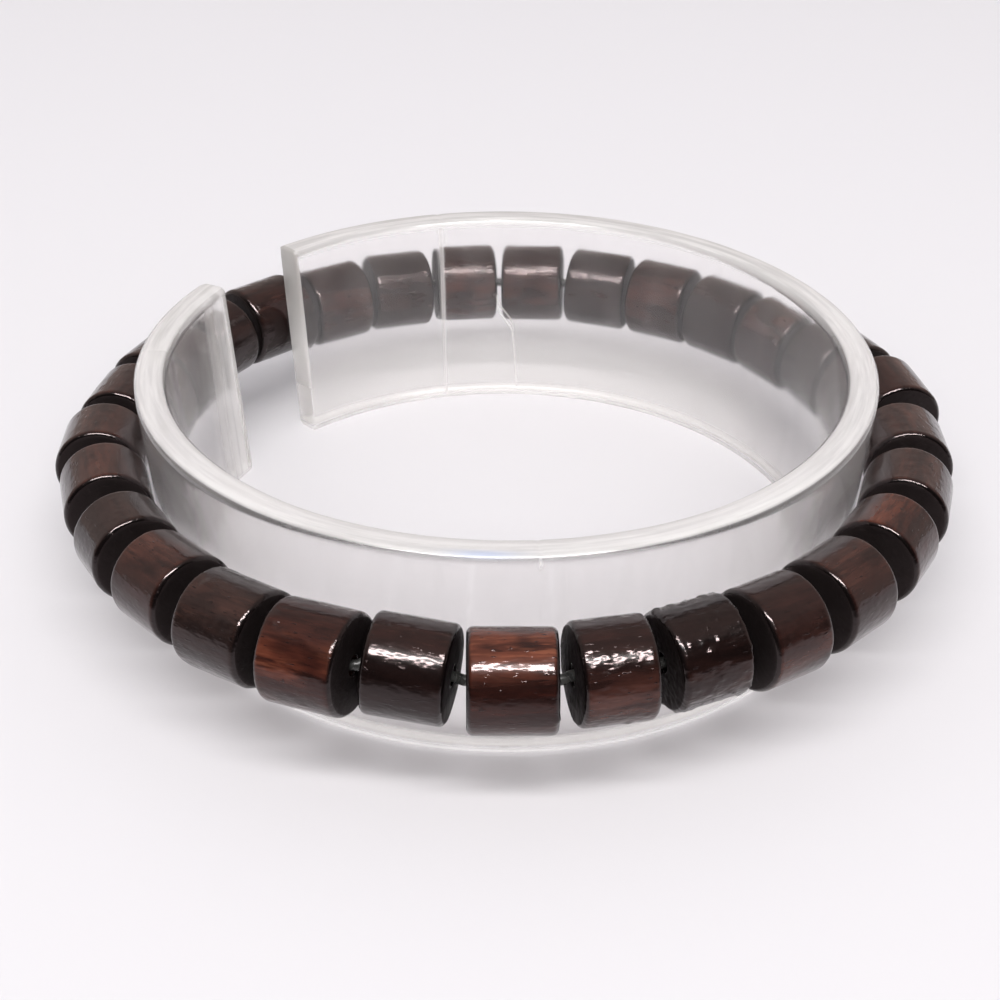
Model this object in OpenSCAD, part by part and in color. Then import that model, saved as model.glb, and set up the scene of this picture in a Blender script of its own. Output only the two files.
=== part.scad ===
// Beaded bracelet on a clear C-shaped display ring, in millimetres.
// The origin is the centre of the ring's foot, +Z is up and the front bead faces -Y.

/* [Display ring] */
// Height of the ring
ring_height = 18.4; // [17:0.1:22]
// Outer radius at half height
ring_radius = 29.4; // [29.4:0.1:31]
// Growth of the radius from half height to the top, and its loss down to the foot
ring_flare = 0.7; // [0:0.1:1]
// Thickness of the wall
ring_wall = 2.5; // [1.5:0.1:3.5]
// Rounding of the polished rims
ring_edge = 0.4; // [0.1:0.1:0.7]
// Direction of the middle of the slot, counter-clockwise from +X
slot_middle = 143.5; // [0:0.5:360]
// Angle that the slot leaves open
slot_width = 18; // [5:0.5:60]

/* [Beads] */
// Radius of a common bead
bead_radius = 3.65; // [3.4:0.05:3.75]
// Rounding of a bead's rims
bead_edge = 0.45; // [0.3:0.05:0.8]
// Diameter of the hole drilled through each bead
hole_d = 1.4; // [1.2:0.1:2]
// Width of the bevel at each mouth of the hole
mouth_bevel = 0.2; // [0.05:0.05:0.4]

/* [String] */
// Diameter of the elastic cord
cord_d = 0.8; // [0.5:0.1:0.9]
// Height of the string above the foot, at its sides and back
string_height = 9.6; // [8:0.1:11]
// Rise of the string from its sides to the front bead
string_lift = 1.5; // [0:0.1:2]
// Gap between the ring and a bead that rests on it
seat_gap = 0.12; // [0.1:0.01:0.3]
// Direction of the front bead
first_bead = -89.3; // [-100:0.1:-80]

/* [Hidden] */
$fn = 72;
cord_sides = 8;
cord_inset = 0.3;
arc_steps = 4;
overcut = 1;

// Columns of the bead table: length along the cord, radius beyond bead_radius,
// free cord up to the next bead, distance that it stands off its seat on the
// ring, degrees by which its end towards the next bead is raised, and its shade
LENGTH = 0;
EXTRA = 1;
SLACK = 2;
STAND_OFF = 3;
TILT = 4;
SHADE = 5;

// One row for each bead, from the front one counter-clockwise seen from above
BEADS = [
    [6.25, 0.05, 0.10, 0.65, 0, 0],
    [5.4, 0.05, 0.25, 0.20, 0, 1],
    [5.5, 0.00, 0.10, 0.00, 3, 2],
    [5.3, 0.15, 0.75, 0.10, 0, 1],
    [5.7, 0.05, 1.70, 0.00, -1, 1],
    [5.4, -0.05, 1.30, 0.00, 1, 0],
    [5.9, -0.05, 1.10, 0.00, 0, 1],
    [6.2, 0.00, 1.30, 0.10, -1, 1],
    [6.1, 0.05, 0.30, 1.00, 2, 1],
    [6.1, 0.00, 0.20, 0.60, -1, 2],
    [6.0, 0.00, 0.25, 0.05, 1, 1],
    [6.2, 0.00, 0.25, 0.00, 0, 3],
    [6.1, 0.00, 0.20, 0.00, -1, 1],
    [6.1, 0.00, 0.20, 0.00, 1, 2],
    [6.1, 0.05, 0.25, 0.00, -2, 1],
    [6.2, 0.05, 0.20, 0.05, 1, 1],
    [6.1, 0.00, 0.20, 0.00, 2, 3],
    [6.1, 0.00, 0.25, 0.00, 0, 1],
    [6.1, 0.05, 0.25, 0.00, 1, 0],
    [6.1, 0.00, 0.25, 0.00, -1, 1],
    [6.1, 0.00, 0.30, 0.00, 0, 2],
    [6.1, -0.05, 0.60, 0.00, 1, 1],
    [5.8, 0.00, 0.50, 0.35, 0, 1],
    [5.9, -0.10, 1.80, 0.00, -1, 1],
    [5.1, -0.05, 1.00, 0.00, 0, 3],
    [5.9, -0.05, 0.60, 0.00, 1, 1],
    [6.1, 0.00, 0.05, 0.35, 0, 3],
    [6.0, 0.10, 0.00, 0.50, 1, 0],
    [5.9, -0.05, 0.05, 0.05, -4, 2],
];

// Shades of the lacquered wood: red-brown, dark brown, near black and grey-brown
WOODS = ["#56301f", "#3a2721", "#1f1a19", "#4a403b"];

bead_count = len(BEADS);
flare_angle = atan(2 * ring_flare / ring_height);
foot_radius = ring_radius - ring_flare;

function bead_name(i) = str("bead_", i < 9 ? "0" : "", i + 1);

// Radius of bead i
function radius_of(i) = bead_radius + BEADS[i][EXTRA];

// Cord used from the middle of bead i to the middle of the next one
function pitch(i) =
    BEADS[i][LENGTH] / 2 + BEADS[i][SLACK] + BEADS[(i + 1) % bead_count][LENGTH] / 2;

// Cord used from the middle of the front bead to the middle of bead i
function run(i) = i == 0 ? 0 : run(i - 1) + pitch(i - 1);

// Direction in which bead i lies: the string closes after one full turn
function direction(i) = first_bead + 360 * run(i) / run(bead_count);

// Height of bead i on the string, which climbs towards the front
function level(i) = string_height + string_lift * max(0, -sin(direction(i)));

// Distance of bead i from the axis of the ring, seated on the flared wall
function reach(i) =
    ring_radius + ring_flare * (2 * level(i) / ring_height - 1)
    + (radius_of(i) + seat_gap) / cos(flare_angle) + BEADS[i][STAND_OFF];

// Angle by which bead i is raised at its end towards the next bead
function rise(i) =
    BEADS[i][TILT] - (sin(direction(i)) < 0 ? atan(string_lift * cos(direction(i)) / reach(i)) : 0);

// Unit vectors of bead i: away from the axis, along the cord, and upwards
function outward(i) = [cos(direction(i)), sin(direction(i)), 0];
function ahead(i) = [0, 0, sin(rise(i))] + cos(rise(i)) * [-sin(direction(i)), cos(direction(i)), 0];
function upward(i) = cross(outward(i), ahead(i));
function middle(i) = reach(i) * outward(i) + [0, 0, level(i)];

// Points of an arc about centre c, from angle a0 to angle a1
function arc(c, r, a0, a1) =
    [for (s = [0 : arc_steps]) c + r * [cos(a0 + (a1 - a0) * s / arc_steps), sin(a0 + (a1 - a0) * s / arc_steps)]];

// Place beside the flared line through [foot, 0], at height z and at a distance from the line
function beside(foot, z, away) = [foot + (z * sin(flare_angle) + away) / cos(flare_angle), z];

// Section of the ring's wall: flat at foot and top, flared at the sides, round at the rims
module wall_section() {
    inner_foot = foot_radius - ring_wall;
    low = ring_edge;
    high = ring_height - ring_edge;
    polygon(concat(
        arc(beside(foot_radius, low, -ring_edge), ring_edge, -90, -flare_angle),
        arc(beside(foot_radius, high, -ring_edge), ring_edge, -flare_angle, 90),
        arc(beside(inner_foot, high, ring_edge), ring_edge, 90, 180 - flare_angle),
        arc(beside(inner_foot, low, ring_edge), ring_edge, 180 - flare_angle, 270)
    ));
}

// Clear ring that stands on its foot and holds the string open
module display_ring() {
    color("#e8eef0", 0.35)
        rotate([0, 0, slot_middle + slot_width / 2])
            rotate_extrude(angle = 360 - slot_width)
                wall_section();
}

// Half section of a bead, standing on the axis of its hole
module bead_section(length, radius) {
    mouth = hole_d / 2 + mouth_bevel;
    difference() {
        union() {
            translate([0, -length / 2])
                square([radius - bead_edge, length]);
            translate([0, bead_edge - length / 2])
                square([radius, length - 2 * bead_edge]);
            for (side = [-1, 1])
                translate([radius - bead_edge, side * (length / 2 - bead_edge)])
                    circle(bead_edge);
        }
        translate([-overcut, -length / 2 - overcut])
            square([overcut + hole_d / 2, length + 2 * overcut]);
        for (side = [-1, 1])
            polygon([
                [0, side * (length / 2 - mouth)],
                [mouth + overcut, side * (length / 2 + overcut)],
                [0, side * (length / 2 + overcut)]
            ]);
    }
}

// Turned wooden bead i, drilled along its length and threaded on the cord
module bead(i) {
    color(WOODS[BEADS[i][SHADE]])
        rotate([0, 0, direction(i)])
            translate([reach(i), 0, level(i)])
                rotate([rise(i) - 90, 0, 0])
                    rotate_extrude()
                        bead_section(BEADS[i][LENGTH], radius_of(i));
}

// Points of the cord's round section in bead i, near its end on the given side
function cord_ring(i, side) =
    [for (s = [0 : cord_sides - 1])
        middle(i) + side * (BEADS[i][LENGTH] / 2 - cord_inset) * ahead(i)
        + cord_d / 2 * (cos(360 * s / cord_sides) * outward(i) + sin(360 * s / cord_sides) * upward(i))];

// Elastic cord, straight through each hole and bent in the gaps between beads
module elastic_cord() {
    rings = 2 * bead_count;
    points = [for (i = [0 : bead_count - 1], side = [-1, 1]) each cord_ring(i, side)];
    color("#dfe2dd", 0.8)
        polyhedron(points, [
            for (j = [0 : rings - 1], s = [0 : cord_sides - 1])
                let (
                    a = j * cord_sides + s,
                    b = j * cord_sides + (s + 1) % cord_sides,
                    c = ((j + 1) % rings) * cord_sides + (s + 1) % cord_sides,
                    d = ((j + 1) % rings) * cord_sides + s
                )
                each [[a, c, b], [a, d, c]]
        ]);
}

display_ring();
elastic_cord();
for (i = [0 : bead_count - 1])
    bead(i);
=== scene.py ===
"""A bracelet of lacquered wooden beads, held open by a clear C-shaped display ring on a pale table."""
import math

import bmesh
import bpy
import numpy as np
from mathutils import Matrix, Vector


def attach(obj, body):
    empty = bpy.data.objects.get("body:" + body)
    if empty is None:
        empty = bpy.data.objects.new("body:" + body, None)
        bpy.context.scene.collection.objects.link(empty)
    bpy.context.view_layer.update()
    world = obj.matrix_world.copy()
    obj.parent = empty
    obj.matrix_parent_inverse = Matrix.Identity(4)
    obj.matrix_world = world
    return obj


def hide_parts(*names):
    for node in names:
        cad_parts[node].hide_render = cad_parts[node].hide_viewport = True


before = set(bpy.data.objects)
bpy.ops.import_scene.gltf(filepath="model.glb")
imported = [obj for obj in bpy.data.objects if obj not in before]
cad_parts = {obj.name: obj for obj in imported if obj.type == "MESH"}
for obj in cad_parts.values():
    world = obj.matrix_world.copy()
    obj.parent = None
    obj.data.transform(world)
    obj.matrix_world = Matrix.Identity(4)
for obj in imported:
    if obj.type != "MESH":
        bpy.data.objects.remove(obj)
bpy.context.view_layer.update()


# The viewpoint. The photograph looks down on the front bead from close by, with a short
# telephoto view of a square picture. The camera aims at a point just above the table, in the
# middle of the ring.
MM = 0.001
VIEW_ELEVATION = math.radians(32.1)
VIEW_ROLL = math.radians(0.25)
VIEW_DISTANCE = 147.9 * MM
VIEW_FOCAL_PX = 1714
PICTURE_PX = 1000
SENSOR_WIDTH = 36.0
AIM = Vector((-0.47, 0.0, 4.1)) * MM


def place_camera():
    """Sets up the scene's camera, its picture turned by the small roll of the photograph."""
    camera = bpy.data.cameras.new("camera")
    camera.sensor_width = SENSOR_WIDTH
    camera.lens = SENSOR_WIDTH * VIEW_FOCAL_PX / PICTURE_PX
    camera.clip_start = 1 * MM
    camera.clip_end = 10.0
    forward = Vector((0, math.cos(VIEW_ELEVATION), -math.sin(VIEW_ELEVATION)))
    level_up = Vector((0, math.sin(VIEW_ELEVATION), math.cos(VIEW_ELEVATION)))
    level_right = Vector((1, 0, 0))
    right = math.cos(VIEW_ROLL) * level_right + math.sin(VIEW_ROLL) * level_up
    up = math.cos(VIEW_ROLL) * level_up - math.sin(VIEW_ROLL) * level_right
    stand = bpy.data.objects.new("camera", camera)
    turn = Matrix((right, up, -forward)).transposed().to_4x4()
    stand.matrix_world = Matrix.Translation(AIM - VIEW_DISTANCE * forward) @ turn
    bpy.context.scene.collection.objects.link(stand)
    bpy.context.scene.camera = stand


place_camera()


# The display ring. One clear acrylic moulding, a C in plan with a slightly flared wall, which
# stands on its foot and holds the bracelet open. Its rims and slot ends are fire-polished round,
# and the two halves of the mould left a fine seam at the front and at the back.
RING_HEIGHT = 18.4 * MM
RING_FOOT_RADIUS = 28.7 * MM
RING_TOP_RADIUS = 30.1 * MM
RING_WALL = 2.5 * MM
RING_RIM = 0.4 * MM
TOP_IN_MM = RING_HEIGHT / MM
OUTER_EDGE_IN_MM = RING_TOP_RADIUS / MM
RING_STATIONS = 960
RING_SECTION_POINTS = 77
SLOT_RIGHT_END = math.radians(134.5)
SLOT_LEFT_END = math.radians(152.5)
FRONT_SEAM = math.radians(-85.6)
BACK_SEAM = math.radians(102.8)
# Direction round the ring of a painted bluish reflection on the front rim.
RIM_GLEAM = math.radians(-93.0)
CROOKED_MARK = math.radians(87.3)
FULL_TURN = 2 * math.pi
FLOAT = "NodeSocketFloat"
WHOLE = "NodeSocketInt"


class Flow:
    """An output of a node. Arithmetic on it adds Math nodes, or Vector Math where a side is a vector."""

    def __init__(self, bench, socket):
        self.bench = bench
        self.socket = socket

    def is_vector(self):
        return self.socket.type in ("VECTOR", "RGBA")

    def work(self, operation, *others):
        """The result of a Math or Vector Math node on this output and the others."""
        sides = [self, *others]
        if any(isinstance(s, Flow) and s.is_vector() or isinstance(s, tuple) for s in sides):
            kind = "ShaderNodeVectorMath"
            sides = [s if isinstance(s, (Flow, tuple)) else (s, s, s) for s in sides]
        else:
            kind = "ShaderNodeMath"
        return self.bench.node(kind, {"operation": operation}, dict(enumerate(sides)))

    def __add__(self, other):
        return self.work("ADD", other)

    __radd__ = __add__

    def __sub__(self, other):
        return self.work("SUBTRACT", other)

    def __rsub__(self, other):
        return (self * -1) + other

    def __mul__(self, other):
        return self.work("MULTIPLY", other)

    __rmul__ = __mul__

    def __truediv__(self, other):
        return self.work("DIVIDE", other)

    def __rtruediv__(self, other):
        return self.work("POWER", -1.0) * other

    def __pow__(self, other):
        return self.work("POWER", other)

    def __neg__(self):
        return self * -1

    def part(self, axis):
        """The X, Y or Z of a vector."""
        return self.bench.node("ShaderNodeSeparateXYZ", None, {0: self}, axis)

    def length(self):
        return self.bench.node("ShaderNodeVectorMath", {"operation": "LENGTH"}, {0: self}, "Value")

    def in_mm(self):
        """A place in metres, counted in millimetres."""
        return self * (1 / MM)

    def unsigned(self):
        """The amount without its sign."""
        return self.work("ABSOLUTE")

    def least(self, other):
        return self.work("MINIMUM", other)

    def most(self, other):
        return self.work("MAXIMUM", other)

    def sine(self):
        return self.work("SINE")

    def cosine(self):
        return self.work("COSINE")

    def swept(self, low, high, start=0.0, end=1.0):
        """Goes smoothly from start to end as this output goes from low to high."""
        return self.bench.node(
            "ShaderNodeMapRange",
            {"interpolation_type": "SMOOTHSTEP"},
            {"Value": self, "From Min": low, "From Max": high, "To Min": start, "To Max": end},
        )

    def near(self, place, width):
        """1 where this output is at place, and fading to 0 over about width on either side."""
        return (-((self - place) / width) ** 2).work("EXPONENT")


class Bench:
    """A node tree that is filled from empty."""

    def __init__(self, tree):
        self.tree = tree
        tree.nodes.clear()

    def node(self, kind, settings=None, sockets=None, output=0):
        """Adds a node: settings first, then the values or links of its sockets."""
        made = self.tree.nodes.new(kind)
        for name, value in (settings or {}).items():
            setattr(made, name, value)
        for name, value in (sockets or {}).items():
            if isinstance(value, Flow):
                self.tree.links.new(value.socket, made.inputs[name])
            else:
                made.inputs[name].default_value = value
        return Flow(self, made.outputs[output]) if made.outputs else None

    def join(self, x, y, z):
        """A vector with these parts."""
        return self.node("ShaderNodeCombineXYZ", None, {"X": x, "Y": y, "Z": z})

    def direction(self, x, y):
        """The angle of a point round the axis, counter-clockwise from x."""
        return self.node("ShaderNodeMath", {"operation": "ARCTAN2"}, {0: y, 1: x})

    def noise(self, place, scale, detail=2.0, roughness=0.5, seed=0.0, distortion=0.0):
        return self.node(
            "ShaderNodeTexNoise",
            {"noise_dimensions": "4D"},
            {
                "Vector": place,
                "W": seed,
                "Scale": scale,
                "Detail": detail,
                "Roughness": roughness,
                "Distortion": distortion,
            },
        )

    def mixed(self, amount, one, other):
        """A colour that goes from one to the other as amount goes from 0 to 1."""
        return self.node("ShaderNodeMix", {"data_type": "RGBA"}, {0: amount, 6: one, 7: other}, 2)

    def light_path(self, kind):
        return self.node("ShaderNodeLightPath", None, None, kind)


def empty_material(name):
    """A new material, and the bench that fills it."""
    material = bpy.data.materials.new(name)
    material.use_nodes = True
    return material, Bench(material.node_tree)


class ShapeBench(Bench):
    """A Geometry Nodes tree, with named inputs for its sizes."""

    def __init__(self, name, sizes):
        super().__init__(bpy.data.node_groups.new(name, "GeometryNodeTree"))
        self.keys = {}
        face = self.tree.interface
        face.new_socket(name="Geometry", in_out="INPUT", socket_type="NodeSocketGeometry")
        for size, kind in sizes.items():
            socket = face.new_socket(name=size, in_out="INPUT", socket_type=kind)
            self.keys[size] = socket.identifier
        face.new_socket(name="Geometry", in_out="OUTPUT", socket_type="NodeSocketGeometry")
        self.entry = self.tree.nodes.new("NodeGroupInput")

    def size(self, name):
        """The named input, or the geometry that comes in."""
        return Flow(self, self.entry.outputs[name])

    def section(self, points, rounding):
        """A closed section through four points, its corners rounded with short arcs."""
        corners = {"Point %d" % (k + 1): point for k, point in enumerate(points)}
        outline = self.node("GeometryNodeCurvePrimitiveQuadrilateral", {"mode": "POINTS"}, corners)
        return self.node(
            "GeometryNodeFilletCurve", {"mode": "POLY"}, {"Curve": outline, "Count": 8, "Radius": rounding}
        )

    def skin(self, section, around, along):
        """A flat grid to wrap, and for each of its points the place on the section and the way along."""
        grid = self.node(
            "GeometryNodeMeshGrid",
            None,
            {"Size X": 1.0, "Size Y": 1.0, "Vertices X": around, "Vertices Y": along},
        )
        here = self.node("GeometryNodeInputPosition")
        on_section = self.node(
            "GeometryNodeSampleCurve",
            {"mode": "FACTOR"},
            {"Curves": section, "Factor": here.part("X") + 0.5},
            "Position",
        )
        return grid, on_section, here.part("Y") + 0.5

    def wrapped(self, grid, place):
        """The grid with its points at place, closed where its sides meet."""
        moved = self.node("GeometryNodeSetPosition", None, {"Geometry": grid, "Position": place})
        return self.node("GeometryNodeMergeByDistance", None, {"Geometry": moved, "Distance": 0.01 * MM})

    def finish(self, shape, material):
        """Ends the tree: shaded smooth, instances realized, and the material set."""
        smooth = self.node("GeometryNodeSetShadeSmooth", None, {"Geometry": shape})
        real = self.node("GeometryNodeRealizeInstances", None, {"Geometry": smooth})
        dressed = self.node("GeometryNodeSetMaterial", None, {"Geometry": real, "Material": material})
        end = self.tree.nodes.new("NodeGroupOutput")
        self.tree.links.new(dressed.socket, end.inputs["Geometry"])

    def shape(self, name, sizes, base=None):
        """The mesh that the tree makes with these sizes, as a plain object."""
        holder = bpy.data.objects.new("holder", base or bpy.data.meshes.new("base"))
        bpy.context.scene.collection.objects.link(holder)
        modifier = holder.modifiers.new("shape", "NODES")
        modifier.node_group = self.tree
        for size, value in sizes.items():
            modifier[self.keys[size]] = value
        ready = holder.evaluated_get(bpy.context.evaluated_depsgraph_get())
        mesh = bpy.data.meshes.new_from_object(ready)
        holder.modifiers.remove(modifier)
        bpy.data.objects.remove(holder)
        mesh.name = name
        piece = bpy.data.objects.new(name, mesh)
        bpy.context.scene.collection.objects.link(piece)
        return piece


def close_ends(piece):
    """Fills a shape's open ends with flat faces and points every face outwards."""
    work = bmesh.new()
    work.from_mesh(piece.data)
    bmesh.ops.holes_fill(work, edges=[e for e in work.edges if e.is_boundary], sides=0)
    bmesh.ops.recalc_face_normals(work, faces=work.faces)
    if work.calc_volume(signed=True) < 0:
        bmesh.ops.reverse_faces(work, faces=work.faces)
    work.to_mesh(piece.data)
    work.free()


class RingSpot:
    """Where a shaded point of the ring lies, in millimetres and radians, and on which of its marks."""

    def __init__(self, bench):
        self.place = bench.node("ShaderNodeTexCoord", None, None, "Object").in_mm()
        self.x, self.y, self.height = (self.place.part(axis) for axis in "XYZ")
        self.angle = bench.direction(self.x, self.y)
        self.radius = (self.place * (1.0, 1.0, 0.0)).length()
        self.foot = 1 - self.height.swept(0.3, 1.1)
        self.right_end = 1 - (self.angle - SLOT_RIGHT_END).unsigned().swept(0.008, 0.014)
        # Painted shade: thin dark lines along the inner and outer edges of the rim, on its near side, darken
        # the clear and milky colours there and thin the milkiness.
        inner_edge = self.radius.near(OUTER_EDGE_IN_MM - RING_WALL / MM + 0.12, 0.07)
        outer_edge = self.radius.near(OUTER_EDGE_IN_MM - 0.12, 0.07)
        near_rim = self.height.swept(TOP_IN_MM - 0.5, TOP_IN_MM - 0.3) * (1 - self.y.swept(-22.0, -3.0))
        self.painted_dark_edges = (inner_edge + outer_edge * 0.35) * near_rim


def ring_haze(bench, spot):
    """How milky the ring is, from 0 to 1: most on its rims, ends, foot and seams."""
    cloud = bench.noise(spot.place * (1.0, 1.0, 0.3), 0.35, 3.0, 0.6)
    lengthwise = bench.noise(bench.join(spot.angle * 3.0, spot.radius * 1.6, 0.0), 0.9, 3.0, 0.55, 9.0)
    upright = bench.noise(bench.join(spot.angle * 29.0, spot.height * 0.05, 0.0), 0.9, 2.0, 0.5, 3.0)
    smudge = bench.noise(bench.join(spot.angle * 5.0, spot.height * 0.35, 0.0), 0.5, 1.0, 0.4, 21.0)
    flat_top = spot.height.swept(TOP_IN_MM - 0.3, TOP_IN_MM - 0.05)
    far_rim = spot.height.swept(TOP_IN_MM - 1.0, TOP_IN_MM - 0.3) * spot.y.swept(-6.0, 14.0)
    left_end = 1 - (spot.angle - SLOT_LEFT_END).unsigned().swept(0.05, 0.22)
    back_seam = spot.angle.near(BACK_SEAM, 0.006)
    front_seam = spot.angle.near(FRONT_SEAM, 0.005) * spot.height.swept(TOP_IN_MM - 1.4, TOP_IN_MM - 0.6)
    mark_lean = spot.height * math.radians(0.18) + spot.height.swept(6.8, 9.6, 0.0, math.radians(2.6))
    crooked_mark = spot.angle.near(CROOKED_MARK + mark_lean, 0.0045)
    mark_reach = spot.height.swept(0.5, 1.5) * (1 - spot.height.swept(9.6, 10.4))
    flank = spot.x.unsigned().swept(12.0, 27.0) * (1 - spot.y.swept(-8.0, 10.0))
    back_foot = spot.y.swept(8.0, 20.0) * (1 - spot.height.swept(4.0, 9.0))
    haze = cloud.swept(0.40, 0.75, 0.0, 0.05)
    for mark in (
        flat_top * lengthwise.swept(0.35, 0.65, 0.60, 0.84),
        far_rim * 0.62,
        spot.foot * 0.60,
        spot.right_end * spot.height.swept(1.0, 14.0, 0.2, 0.7),
        left_end * upright.swept(0.35, 0.62, 0.15, 1.0) * 0.55,
        back_seam * 0.45,
        front_seam * 0.5,
        crooked_mark * mark_reach * 0.5,
        flank * smudge.swept(0.30, 0.75, 0.03, 0.15),
        back_foot * 0.28,
    ):
        haze = haze.most(mark)
    # Less milky along the rim's painted dark edge lines.
    return haze * (1 - spot.painted_dark_edges * 0.8)


def milky_acrylic(bench, spot):
    """The milky parts: painted shade darker up the slot's right end, painted dark lines at the rim's near
    edges, a painted bluish reflection on the front rim, and a painted glow along the near foot.
    """
    # Painted shade: the milky face of the slot's right end is greyer towards its top.
    end_face_shade = bench.mixed(spot.height.swept(8.0, 15.0), (0.80, 0.78, 0.76, 1.0), (0.52, 0.50, 0.48, 1.0))
    milk = bench.mixed(spot.right_end, (0.78, 0.765, 0.755, 1.0), end_face_shade)
    # Painted shade: the milk darkens along the rim's painted dark edge lines.
    milk = bench.mixed(spot.painted_dark_edges * 0.8, milk, (0.30, 0.31, 0.33, 1.0))
    # Painted reflection: a bluish spot on the outer edge of the rim at the front.
    outer_rim = spot.radius.swept(OUTER_EDGE_IN_MM - 1.1, OUTER_EDGE_IN_MM - 0.5)
    outer_rim = outer_rim * spot.height.swept(TOP_IN_MM - 0.6, TOP_IN_MM - 0.2)
    painted_blue_reflection = outer_rim * spot.angle.near(RIM_GLEAM, 0.075)
    milk = bench.mixed(painted_blue_reflection * 0.6, milk, (0.55, 0.66, 0.95, 1.0))
    # Painted glow: the milky foot on the near side emits light of its own, in place of light carried through
    # the acrylic.
    near_foot = spot.foot * (1 - spot.y.swept(-15.0, 6.0))
    painted_foot_glow = bench.mixed(near_foot, (0.0, 0.0, 0.0, 1.0), (0.36, 0.355, 0.35, 1.0))
    return bench.node(
        "ShaderNodeBsdfPrincipled",
        None,
        {"Base Color": milk, "Roughness": 0.35, "Emission Color": painted_foot_glow, "Emission Strength": 1.0},
    )


def clear_acrylic():
    """Clear acrylic, smeared and faintly scratched, which lets nearly all light through to the table."""
    material, bench = empty_material("clear_acrylic")
    spot = RingSpot(bench)
    smear = bench.noise(spot.place * (1.0, 1.0, 0.45), 0.16, 4.0, 0.6)
    scratch = bench.noise(spot.place * (1.0, 1.0, 9.0), 0.42, 3.0, 0.65, 3.0).swept(0.60, 0.72)
    bump = bench.node("ShaderNodeBump", None, {"Height": scratch, "Strength": 0.04, "Distance": 0.02 * MM})
    # Painted shade: the clear colour darkens along the rim's painted dark edge lines.
    clear = bench.node(
        "ShaderNodeBsdfPrincipled",
        None,
        {
            "Base Color": bench.mixed(spot.painted_dark_edges, (1.0, 0.985, 0.98, 1.0), (0.22, 0.22, 0.24, 1.0)),
            "Transmission Weight": 1.0,
            "IOR": 1.49,
            "Roughness": smear.swept(0.30, 0.70, 0.07, 0.18),
            "Normal": bump,
        },
    )
    haze = ring_haze(bench, spot)
    surface = bench.node("ShaderNodeMixShader", None, {0: haze, 1: clear, 2: milky_acrylic(bench, spot)})
    shade = bench.node("ShaderNodeBsdfTransparent", None, {"Color": (0.995, 0.995, 0.995, 1.0)})
    is_shadow = bench.light_path("Is Shadow Ray")
    surface = bench.node("ShaderNodeMixShader", None, {0: is_shadow, 1: surface, 2: shade})
    bench.node("ShaderNodeOutputMaterial", None, {"Surface": surface})
    return material


def ring_shape():
    """Tree of the ring: its wall section, swept along the C with rounded ends and mould seams."""
    sizes = [
        "Foot Radius", "Top Radius", "Height", "Wall", "Rim", "Start", "Sweep", "Start Round",
        "End Round", "Front Seam", "Back Seam", "Seam Height", "Ripple",
    ]
    kinds = {**{s: FLOAT for s in sizes}, "Stations": WHOLE, "Section Points": WHOLE}
    bench = ShapeBench("moulded_ring", kinds)
    foot, top, height, wall = (bench.size(s) for s in ("Foot Radius", "Top Radius", "Height", "Wall"))
    corners = (
        bench.join(foot, 0.0, 0.0),
        bench.join(top, height, 0.0),
        bench.join(top - wall, height, 0.0),
        bench.join(foot - wall, 0.0, 0.0),
    )
    section = bench.section(corners, bench.size("Rim"))
    grid, on_section, along = bench.skin(section, bench.size("Section Points"), bench.size("Stations"))
    angle = bench.size("Start") + bench.size("Sweep") * along
    level = on_section.part("Y")
    middle = foot + (top - foot) * level / height - wall / 2
    across = on_section.part("X") - middle
    from_start = bench.size("Sweep") * foot * along
    to_end = bench.size("Sweep") * foot * (1 - along)

    def inset(distance, rounding):
        """How far the wall's faces are drawn in at this distance from a rounded end."""
        short = (rounding - distance).most(0.0)
        return rounding - (rounding * rounding - short * short).most(0.0).work("SQRT")

    drawn_in = inset(from_start, bench.size("Start Round")) + inset(to_end, bench.size("End Round"))
    across = across * (1 - drawn_in / (wall / 2))
    level = height / 2 + (level - height / 2) * (1 - drawn_in / (height / 2))
    radius = middle + across
    closed = bench.wrapped(grid, bench.join(radius * angle.cosine(), radius * angle.sine(), level))
    spot = bench.node("GeometryNodeInputPosition")
    away = bench.direction(spot.part("X"), spot.part("Y"))
    seam = away.near(bench.size("Front Seam"), 0.0065) + away.near(bench.size("Back Seam"), 0.0085)
    ripple = bench.noise(spot.in_mm(), 0.28, 2.0, 0.5, 7.0) - 0.5
    proud = seam * bench.size("Seam Height") + ripple * bench.size("Ripple")
    above_foot = spot.part("Z").swept(0.1 * MM, 1.2 * MM)
    normal = bench.node("GeometryNodeInputNormal")
    moulded = bench.node(
        "GeometryNodeSetPosition", None, {"Geometry": closed, "Offset": normal * (proud * above_foot)}
    )
    bench.finish(moulded, clear_acrylic())
    return bench


def mould_ring():
    """Makes the ring at its own sizes and closes the flat faces at the slot."""
    ring = ring_shape().shape(
        "clear_ring",
        {
            "Foot Radius": RING_FOOT_RADIUS,
            "Top Radius": RING_TOP_RADIUS,
            "Height": RING_HEIGHT,
            "Wall": RING_WALL,
            "Rim": RING_RIM,
            "Start": SLOT_LEFT_END,
            "Sweep": FULL_TURN - (SLOT_LEFT_END - SLOT_RIGHT_END),
            "Start Round": 1.0 * MM,
            "End Round": 0.3 * MM,
            "Front Seam": FRONT_SEAM,
            "Back Seam": BACK_SEAM,
            "Seam Height": 0.05 * MM,
            "Ripple": 0.03 * MM,
            "Stations": RING_STATIONS,
            "Section Points": RING_SECTION_POINTS,
        },
    )
    close_ends(ring)
    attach(ring, "root")
    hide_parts("display_ring")


mould_ring()


# The elastic cord. One closed loop of clear stretch cord that runs through the hole of every bead.
# It shows only as short grey bridges in the wider gaps, where it bends from one bead to the next.
CORD_RADIUS = 0.4 * MM
CORD_INSET = 0.3 * MM
CORD_SIDES = 12
CORD_RINGS_PER_BEAD = 16


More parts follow.
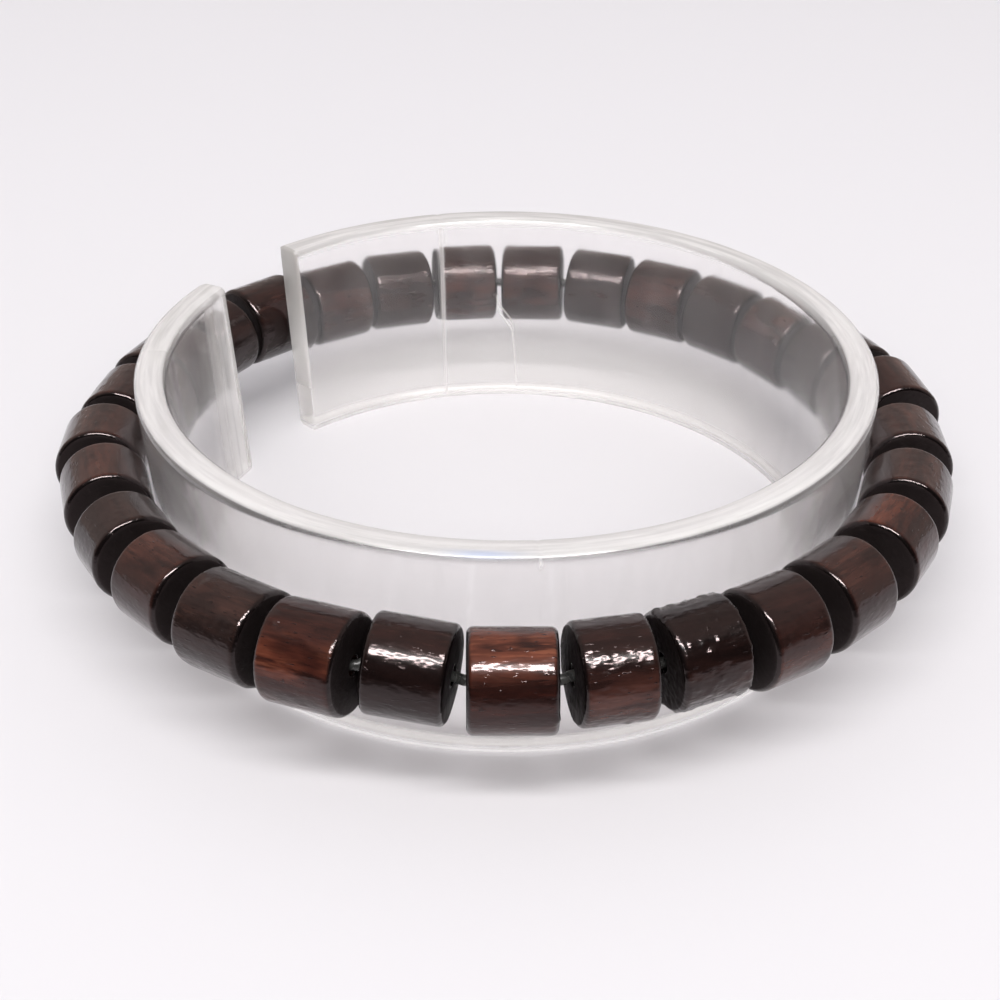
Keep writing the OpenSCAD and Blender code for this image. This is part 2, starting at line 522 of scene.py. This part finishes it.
class BeadSeat:
    """Where a bead lies, measured from its solid: its middle, its hole's direction and its size."""

    def __init__(self, node):
        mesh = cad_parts[node].data
        mesh.calc_loop_triangles()
        corners = np.array([v.co for v in mesh.vertices], float)
        rough_middle = (corners.min(0) + corners.max(0)) / 2
        ahead = self.hole_direction(mesh, corners, rough_middle)
        run = corners @ ahead
        flat = corners - np.outer(run, ahead)
        self.ahead = Vector(ahead)
        self.outward = Vector((rough_middle[0], rough_middle[1], 0.0))
        self.outward = (self.outward - self.outward.dot(self.ahead) * self.ahead).normalized()
        self.upward = self.outward.cross(self.ahead).normalized()
        y = flat @ np.array(self.outward)
        z = flat @ np.array(self.upward)
        self.middle = (
            self.ahead * float(run.max() + run.min()) / 2
            + self.outward * float(y.max() + y.min()) / 2
            + self.upward * float(z.max() + z.min()) / 2
        )
        self.length = float(run.max() - run.min())
        self.radius = float(z.max() - z.min()) / 2

    @staticmethod
    def hole_direction(mesh, corners, rough_middle):
        """Starts square to the way to the ring's axis, and turns to the mean lean of one end's faces."""
        faces = corners[np.array([t.vertices for t in mesh.loop_triangles])]
        leans = np.cross(faces[:, 1] - faces[:, 0], faces[:, 2] - faces[:, 0])
        directions = leans / np.maximum(np.linalg.norm(leans, axis=1, keepdims=True), 1e-20)
        ahead = np.array((-rough_middle[1], rough_middle[0], 0.0))
        ahead /= np.linalg.norm(ahead)
        for _ in range(4):
            ahead = leans[directions @ ahead > 0.5].sum(0)
            ahead /= np.linalg.norm(ahead)
        return ahead

    def matrix(self):
        turn = Matrix((self.ahead, self.outward, self.upward)).transposed().to_4x4()
        return Matrix.Translation(self.middle) @ turn


BEAD_NODES = sorted(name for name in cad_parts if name.startswith("bead_"))
SEATS = [BeadSeat(name) for name in BEAD_NODES]


def clear_elastic():
    """Clear elastic with a satin skin: greyish, a little see-through, with faint draw marks."""
    material, bench = empty_material("clear_elastic")
    place = bench.node("ShaderNodeTexCoord", None, None, "Object").in_mm()
    drawn = bench.noise(place, 1.4, 2.0, 0.5)
    bump = bench.node("ShaderNodeBump", None, {"Height": drawn, "Strength": 0.3, "Distance": 0.03 * MM})
    elastic = bench.node(
        "ShaderNodeBsdfPrincipled",
        None,
        {
            "Base Color": bench.mixed(drawn, (0.04, 0.04, 0.04, 1.0), (0.14, 0.14, 0.13, 1.0)),
            "Transmission Weight": 0.6,
            "IOR": 1.45,
            "Roughness": drawn.swept(0.35, 0.65, 0.18, 0.38),
            "Normal": bump,
        },
    )
    bench.node("ShaderNodeOutputMaterial", None, {"Surface": elastic})
    return material


def cord_shape():
    """Tree of the cord: a round tube along a smooth curve through the points that come in."""
    bench = ShapeBench("threaded_cord", {"Cord Radius": FLOAT, "Sides": WHOLE, "Rings": WHOLE})
    route = bench.node("GeometryNodeMeshToCurve", None, {"Mesh": bench.size("Geometry")})
    route = bench.node("GeometryNodeCurveSplineType", {"spline_type": "CATMULL_ROM"}, {"Curve": route})
    route = bench.node("GeometryNodeResampleCurve", None, {"Curve": route, "Count": bench.size("Rings")})
    circle = bench.node(
        "GeometryNodeCurvePrimitiveCircle",
        None,
        {"Radius": bench.size("Cord Radius"), "Resolution": bench.size("Sides")},
    )
    tube = bench.node("GeometryNodeCurveToMesh", None, {"Curve": route, "Profile Curve": circle})
    bench.finish(tube, clear_elastic())
    return bench


def string_cord():
    """Threads the cord dead centre through every hole and bends it gently in the gaps."""
    points = [
        seat.middle + side * (seat.length / 2 - CORD_INSET) * seat.ahead for seat in SEATS for side in (-1, 1)
    ]
    count = len(points)
    path = bpy.data.meshes.new("cord_path")
    path.from_pydata(points, [(k, (k + 1) % count) for k in range(count)], [])
    sizes = {"Cord Radius": CORD_RADIUS, "Sides": CORD_SIDES, "Rings": len(SEATS) * CORD_RINGS_PER_BEAD}
    cord = cord_shape().shape("stretch_cord", sizes, path)
    close_ends(cord)
    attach(cord, "root")
    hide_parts("elastic_cord")


string_cord()


# The beads. Short drums turned from dark hardwood, drilled along the grain and dipped in a thick
# dark lacquer, which is glossy, a little uneven, and lets red-brown heartwood show through in
# places. No two are alike: some are furrowed, pitted or dented.
RIM_ROUND = 0.45 * MM
HOLE_RADIUS = 0.7 * MM
MOUTH_ROUND = 0.2 * MM
BEAD_SKIN = 0.03 * MM
BEAD_SECTION_POINTS = 121
BEAD_SIDES = 97
FIRST_SEED = 1.3
SEED_STEP = 3.7
NEAR_BLACK = (0.003, 0.002, 0.002, 1.0)
PLACE = "NodeSocketVector"


def bead_shape(material):
    """Tree of a bead, lying along X: its half section, turned round, then dented and furrowed."""
    sizes = [
        "Length", "Radius", "Rim", "Hole Radius", "Mouth", "Skin", "Unevenness", "Furrows", "Pits",
        "Dent Depth", "Dent Radius", "Seed",
    ]
    kinds = {**{s: FLOAT for s in sizes}, "Dent Place": PLACE, "Section Points": WHOLE, "Sides": WHOLE}
    bench = ShapeBench("turned_bead", kinds)
    length, radius, hole = (bench.size(s) for s in ("Length", "Radius", "Hole Radius"))
    outer = radius - bench.size("Skin")
    end = length / 2 - bench.size("Skin")
    corners = (
        bench.join(-end, hole, 0.0),
        bench.join(-end, outer, 0.0),
        bench.join(end, outer, 0.0),
        bench.join(end, hole, 0.0),
    )
    corner = bench.node("GeometryNodeInputPosition").part("Y") - (hole + outer) / 2
    outside = corner.work("GREATER_THAN", 0.0)
    rounding = bench.size("Mouth") + (bench.size("Rim") - bench.size("Mouth")) * outside
    section = bench.section(corners, rounding)
    grid, on_section, along = bench.skin(section, bench.size("Section Points"), bench.size("Sides"))
    angle = along * FULL_TURN
    reach = on_section.part("Y")
    turned = bench.join(on_section.part("X"), reach * angle.cosine(), reach * angle.sine())
    closed = bench.wrapped(grid, turned)
    spot = bench.node("GeometryNodeInputPosition")
    marked = bench.node(
        "GeometryNodeStoreNamedAttribute",
        {"data_type": "FLOAT_VECTOR", "domain": "POINT"},
        {"Geometry": closed, "Name": "bead_place", "Value": spot},
    )
    seed = bench.size("Seed")
    grown = spot.in_mm()
    waver = bench.noise(grown * (0.75, 1.0, 1.0), 0.20, 1.0, 0.5, seed) - 0.58
    furrow = bench.noise(grown * (0.13, 1.0, 1.0), 0.95, 3.0, 0.62, seed + 11.0).swept(0.56, 0.72)
    pit = bench.noise(grown * (0.6, 1.0, 1.0), 1.9, 2.0, 0.6, seed + 23.0).swept(0.55, 0.70)
    dent = 1 - ((spot - bench.size("Dent Place")).length() / bench.size("Dent Radius")).swept(0.0, 1.0)
    clear_of_hole = ((spot * (0.0, 1.0, 1.0)).length() / radius).swept(0.30, 0.45)
    sunk = (
        waver * bench.size("Unevenness")
        - furrow * bench.size("Furrows")
        - pit * bench.size("Pits")
        - dent * bench.size("Dent Depth")
    )
    normal = bench.node("GeometryNodeInputNormal")
    aged = bench.node(
        "GeometryNodeSetPosition", None, {"Geometry": marked, "Offset": normal * (sunk * clear_of_hole)}
    )
    bench.finish(aged, material)
    return bench


def wood_colour(bench, spot, pores, bead):
    """Streaked wood under a tinted lacquer, with a patch of heartwood on the side that bead says."""
    grained = spot * (0.16, 1.0, 1.0)
    streak = bench.noise(grained, 1.3, 4.0, 0.62, bead["seed"], 0.6)
    fine = bench.noise(spot * (0.14, 1.0, 1.0), 3.2, 2.0, 0.5, bead["seed"] + 5.0)
    around = bench.direction(spot.part("Y"), spot.part("Z"))
    off_patch = ((around - math.radians(bead["patch_at"])) * 0.5).sine().unsigned()
    patch = 1 - off_patch.swept(0.0, math.sin(math.radians(bead["patch_span"]) / 2))
    cloud = bench.noise(spot * (0.45, 1.0, 1.0), 0.55, 2.0, 0.55, bead["seed"] + 31.0).swept(0.34, 0.60)
    glow = bench.noise(grained, 2.6, 2.0, 0.5, bead["seed"] + 47.0).swept(0.52, 0.68)
    ground = bench.mixed(streak.swept(0.35, 0.68), bead["dark"], bead["mid"])
    heart = bench.mixed(streak.swept(0.32, 0.56), bead["mid"], bead["heart"])
    heart = bench.mixed(glow * 0.7, heart, bead["amber"])
    wood = bench.mixed(patch * cloud * bead["patch"], ground, heart)
    wood = bench.mixed(fine.swept(0.42, 0.70) * 0.35, wood, bead["dark"])
    return bench.mixed(pores * 0.7, wood, NEAR_BLACK)


def lacquered_wood(name, bead):
    """Dark wood under a glossy, slightly rough lacquer, with bare faces at both ends painted near black, for
    their dark end grain and for painted shade between the beads.
    """
    material, bench = empty_material(name)
    seed = bead["seed"]
    spot = bench.node("ShaderNodeAttribute", {"attribute_name": "bead_place"}, None, "Vector").in_mm()
    pores = bench.noise(spot * (0.30, 1.0, 1.0), 5.0, 1.0, 0.5, seed + 9.0).swept(0.64, 0.74)
    to_end = spot.part("X").unsigned() - bead["length"] / 2
    # Near black over the end faces and the ends of the rims: partly dark end grain, partly painted shade
    # between neighbouring beads.
    end_grain_and_shade = to_end.swept(-0.40, -0.16)
    bare_face = to_end.swept(-0.10, -0.04)
    orange_peel = bench.noise(spot * (0.6, 1.0, 1.0), 2.0, 1.0, 0.5, seed + 61.0)
    raised_grain = bench.noise(spot * (0.22, 1.0, 1.0), 3.6, 1.0, 0.5, seed + 71.0)
    relief = orange_peel * bead["peel"] + raised_grain * bead["grain"] * 0.5 - pores * 0.15
    bump = bench.node("ShaderNodeBump", None, {"Height": relief, "Strength": 1.0, "Distance": 0.08 * MM})
    dull = bench.noise(spot * (0.4, 1.0, 1.0), 0.9, 2.0, 0.5, seed + 83.0).swept(0.35, 0.70, 0.09, 0.17)
    surface = bench.node(
        "ShaderNodeBsdfPrincipled",
        None,
        {
            "Base Color": bench.mixed(end_grain_and_shade, wood_colour(bench, spot, pores, bead), NEAR_BLACK),
            "Roughness": dull + bare_face * 0.5,
            "IOR": 1.40,
            "Specular Tint": (0.96, 0.76, 0.76, 1.0),
            "Normal": bump,
            "Coat Weight": (1 - bare_face) * 0.2,
            "Coat Roughness": 0.2,
        },
    )
    bench.node("ShaderNodeOutputMaterial", None, {"Surface": surface})
    return material


# Tones of the beads: the lacquered ground, the mid wood, the heartwood patch and its brightest streak
TONES = {
    "red": (
        (0.010, 0.0036, 0.0030, 1), (0.034, 0.0095, 0.0065, 1),
        (0.160, 0.045, 0.024, 1), (0.26, 0.085, 0.045, 1),
    ),
    "brown": (
        (0.0095, 0.0042, 0.0036, 1), (0.023, 0.0088, 0.0070, 1),
        (0.066, 0.024, 0.017, 1), (0.10, 0.038, 0.026, 1),
    ),
    "black": (
        (0.0045, 0.0024, 0.0022, 1), (0.009, 0.0042, 0.0036, 1),
        (0.026, 0.010, 0.008, 1), (0.045, 0.018, 0.013, 1),
    ),
    "grey": (
        (0.0075, 0.0045, 0.0042, 1), (0.016, 0.0092, 0.0080, 1),
        (0.040, 0.019, 0.015, 1), (0.06, 0.028, 0.021, 1),
    ),
}

# One row for each bead, from the front one counter-clockwise seen from above: tone, strength of its
# heartwood patch, degrees from the outer side up to the patch and its half width, unevenness,
# furrows and pits in hundredths of a millimetre, and the relief of its lacquer and of its grain
COLUMNS = ("tone", "patch", "patch_at", "patch_span", "uneven", "furrows", "pits", "peel", "grain")
FINISHES = [
    ("red", 1.0, 80, 56, 9, 0, 0, 0.55, 0.5),
    ("brown", 0.8, -10, 60, 9, 3, 4, 0.9, 0.8),
    ("black", 0.7, -5, 50, 14, 4, 9, 1.1, 0.6),
    ("brown", 0.9, -15, 55, 12, 0, 2, 0.5, 0.3),
    ("brown", 0.8, 75, 50, 10, 0, 0, 0.6, 0.4),
    ("red", 0.6, 95, 45, 10, 2, 0, 0.6, 0.4),
    ("brown", 0.7, 80, 60, 12, 3, 0, 0.6, 0.5),
    ("brown", 0.7, 90, 50, 10, 0, 2, 0.7, 0.4),
    ("brown", 0.6, 60, 60, 10, 4, 0, 0.6, 0.5),
    ("black", 0.5, 40, 60, 10, 0, 2, 0.7, 0.4),
    ("brown", 0.7, 110, 60, 10, 3, 0, 0.6, 0.5),
    ("grey", 0.6, 100, 60, 10, 0, 0, 0.7, 0.4),
    ("brown", 0.8, 150, 70, 9, 0, 0, 0.8, 0.6),
    ("black", 0.6, 160, 60, 10, 0, 0, 0.8, 0.5),
    ("brown", 0.7, 170, 60, 9, 2, 0, 0.8, 0.6),
    ("brown", 1.0, 175, 70, 9, 0, 0, 0.8, 0.7),
    ("grey", 0.7, 170, 60, 10, 3, 0, 0.7, 0.6),
    ("brown", 0.7, 160, 60, 10, 0, 2, 0.8, 0.5),
    ("black", 1.0, 120, 60, 12, 0, 3, 0.7, 0.5),
    ("black", 0.8, 120, 60, 12, 2, 0, 0.7, 0.5),
    ("black", 0.6, 90, 60, 10, 0, 0, 0.7, 0.5),
    ("brown", 0.6, 80, 60, 12, 0, 2, 0.6, 0.4),
    ("brown", 0.8, 85, 60, 10, 3, 0, 0.5, 0.4),
    ("brown", 0.9, 85, 50, 11, 0, 0, 0.5, 0.3),
    ("grey", 0.4, 90, 50, 10, 0, 2, 0.5, 0.3),
    ("brown", 0.8, 80, 60, 10, 2, 0, 0.5, 0.4),
    ("grey", 0.8, 60, 60, 12, 9, 0, 0.6, 0.8),
    ("red", 0.5, 25, 55, 12, 3, 3, 0.7, 0.6),
    ("black", 0.7, 80, 50, 16, 0, 0, 0.8, 0.4),
]
HUNDREDTH = 0.01 * MM

# Dents that show, by bead: place along, outward and up from its middle, radius and depth, in millimetres
DENTS = {
    "bead_01": ((3.0, 3.5, -0.6), 0.5, 0.12),
    "bead_02": ((0.6, 2.6, -2.2), 0.6, 0.12),
    "bead_27": ((-1.6, 0.8, 3.3), 0.7, 0.18),
    "bead_28": ((-2.2, 1.2, 3.2), 0.8, 0.16),
}
NO_DENT = ((0.0, 0.0, 0.0), 0.1, 0.0)


def turn_bead(tree, number, node, seat):
    """Makes one bead, with its own finish and lacquer, and lays it in its seat."""
    bead = dict(zip(COLUMNS, FINISHES[number]))
    bead["seed"] = SEED_STEP * number + FIRST_SEED
    bead["dark"], bead["mid"], bead["heart"], bead["amber"] = TONES[bead["tone"]]
    bead["length"] = seat.length / MM
    dent_place, dent_radius, dent_depth = DENTS.get(node, NO_DENT)
    drum = tree.shape(
        node + "_drum",
        {
            "Length": seat.length,
            "Radius": seat.radius,
            "Rim": RIM_ROUND,
            "Hole Radius": HOLE_RADIUS,
            "Mouth": MOUTH_ROUND,
            "Skin": BEAD_SKIN,
            "Unevenness": bead["uneven"] * HUNDREDTH,
            "Furrows": bead["furrows"] * HUNDREDTH,
            "Pits": bead["pits"] * HUNDREDTH,
            "Dent Place": [v * MM for v in dent_place],
            "Dent Radius": dent_radius * MM,
            "Dent Depth": dent_depth * MM,
            "Seed": bead["seed"],
            "Section Points": BEAD_SECTION_POINTS,
            "Sides": BEAD_SIDES,
        },
    )
    close_ends(drum)
    drum.data.materials.clear()
    drum.data.materials.append(lacquered_wood(node + "_lacquer", bead))
    drum.data.transform(seat.matrix())
    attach(drum, "root")
    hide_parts(node)


def string_beads():
    """Makes every bead, from the front one counter-clockwise."""
    tree = bead_shape(bpy.data.materials.new("bare_wood"))
    for number, (node, seat) in enumerate(zip(BEAD_NODES, SEATS)):
        turn_bead(tree, number, node, seat)


string_beads()


# The table and the light. A plain pale table under two soft lights from the front, with a long strip
# light that only gloss and clear plastic see. The room is pale, but for gloss its near side is dark,
# and so is the table there, which keeps the lacquer of the front beads dark.
TABLE_HALF = 3.0
LIGHT_DISTANCE = 1.5
LIGHT_AIM = Vector((0.0, 0.0, 8.0)) * MM
LIGHT_TINT = (1.0, 0.985, 0.975)
TABLE_PALE = (0.80, 0.787, 0.81, 1.0)
TABLE_DIMMED = (0.10, 0.08, 0.08, 1.0)
ROOM_LIGHT = (0.43, 0.42, 0.435, 1.0)
ROOM_BACKDROP = (0.84, 0.82, 0.84, 1.0)
ROOM_MIRRORED = (0.58, 0.49, 0.46, 1.0)
ROOM_NEAR_SIDE = (0.03, 0.025, 0.024, 1.0)
LIGHTS = {
    "high_softbox": {"elevation": 63, "size": (1.6, 0.14), "power": 14.5, "gloss_only": False},
    "low_softbox": {"elevation": 32, "size": (1.2, 0.5), "power": 12.5, "gloss_only": False},
    "strip": {"elevation": 64, "size": (1.2, 0.22), "power": 46.0, "gloss_only": True},
}


def pale_table():
    """A matt pale top, which gloss sees darker beyond the near side of the bracelet."""
    material, bench = empty_material("pale_table")
    toward_viewer = bench.node("ShaderNodeTexCoord", None, None, "Object").part("Y") * -1.0
    dimmed = bench.light_path("Is Glossy Ray") * toward_viewer.swept(45 * MM, 140 * MM)
    top = bench.node(
        "ShaderNodeBsdfPrincipled",
        None,
        {
            "Base Color": bench.mixed(dimmed, TABLE_PALE, TABLE_DIMMED),
            "Roughness": 0.65,
            "Specular IOR Level": 0.2,
        },
    )
    bench.node("ShaderNodeOutputMaterial", None, {"Surface": top})
    return material


def set_table():
    """Lays the table's top at the height of the ring's foot."""
    corners = [(x * TABLE_HALF, y * TABLE_HALF, 0.0) for x, y in ((-1, -1), (1, -1), (1, 1), (-1, 1))]
    mesh = bpy.data.meshes.new("table")
    mesh.from_pydata(corners, [], [(0, 1, 2, 3)])
    mesh.materials.append(pale_table())
    table = bpy.data.objects.new("table", mesh)
    bpy.context.scene.collection.objects.link(table)


def hang_light(name, elevation, size, power, gloss_only):
    """A rectangular light before and above the bracelet, for gloss and clear plastic or for the rest."""
    light = bpy.data.lights.new(name, "AREA")
    light.shape = "RECTANGLE"
    light.size, light.size_y = size
    light.energy = power
    light.color = LIGHT_TINT
    if gloss_only:
        light.use_nodes = True
        bench = Bench(light.node_tree)
        scattered = bench.light_path("Diffuse Depth").least(1.0)
        glow = bench.node("ShaderNodeEmission", None, {"Strength": 1 - scattered})
        bench.node("ShaderNodeOutputLight", None, {"Surface": glow})
    lamp = bpy.data.objects.new(name, light)
    lamp.visible_glossy = gloss_only
    lamp.visible_diffuse = not gloss_only
    lamp.visible_transmission = gloss_only
    rise = math.radians(elevation)
    away = Vector((0.0, -math.cos(rise), math.sin(rise)))
    turn = away.to_track_quat("Z", "Y").to_matrix().to_4x4()
    lamp.matrix_world = Matrix.Translation(LIGHT_AIM + LIGHT_DISTANCE * away) @ turn
    bpy.context.scene.collection.objects.link(lamp)


def light_room():
    """A pale room all round: one tone for the light it gives, one behind things, one for gloss."""
    world = bpy.data.worlds.new("room")
    world.use_nodes = True
    bpy.context.scene.world = world
    bpy.context.scene.view_settings.view_transform = "Standard"
    bench = Bench(world.node_tree)
    toward = bench.node("ShaderNodeTexCoord", None, None, "Generated")
    near_side = (toward.part("Y") * -1).swept(-0.1, 0.45)
    below_ceiling = 1 - toward.part("Z").swept(0.80, 0.97)
    mirrored = bench.mixed(near_side * below_ceiling, ROOM_MIRRORED, ROOM_NEAR_SIDE)
    unscattered = 1 - bench.light_path("Diffuse Depth").least(1.0)
    through = bench.light_path("Is Transmission Ray") * unscattered
    behind = bench.light_path("Is Camera Ray").most(through)
    room = bench.mixed(bench.light_path("Is Glossy Ray"), ROOM_LIGHT, mirrored)
    seen = bench.mixed(behind, room, ROOM_BACKDROP)
    glow = bench.node("ShaderNodeBackground", None, {"Color": seen, "Strength": 1.0})
    bench.node("ShaderNodeOutputWorld", None, {"Surface": glow})


set_table()
for light_name, light_sizes in LIGHTS.items():
    hang_light(light_name, **light_sizes)
light_room()
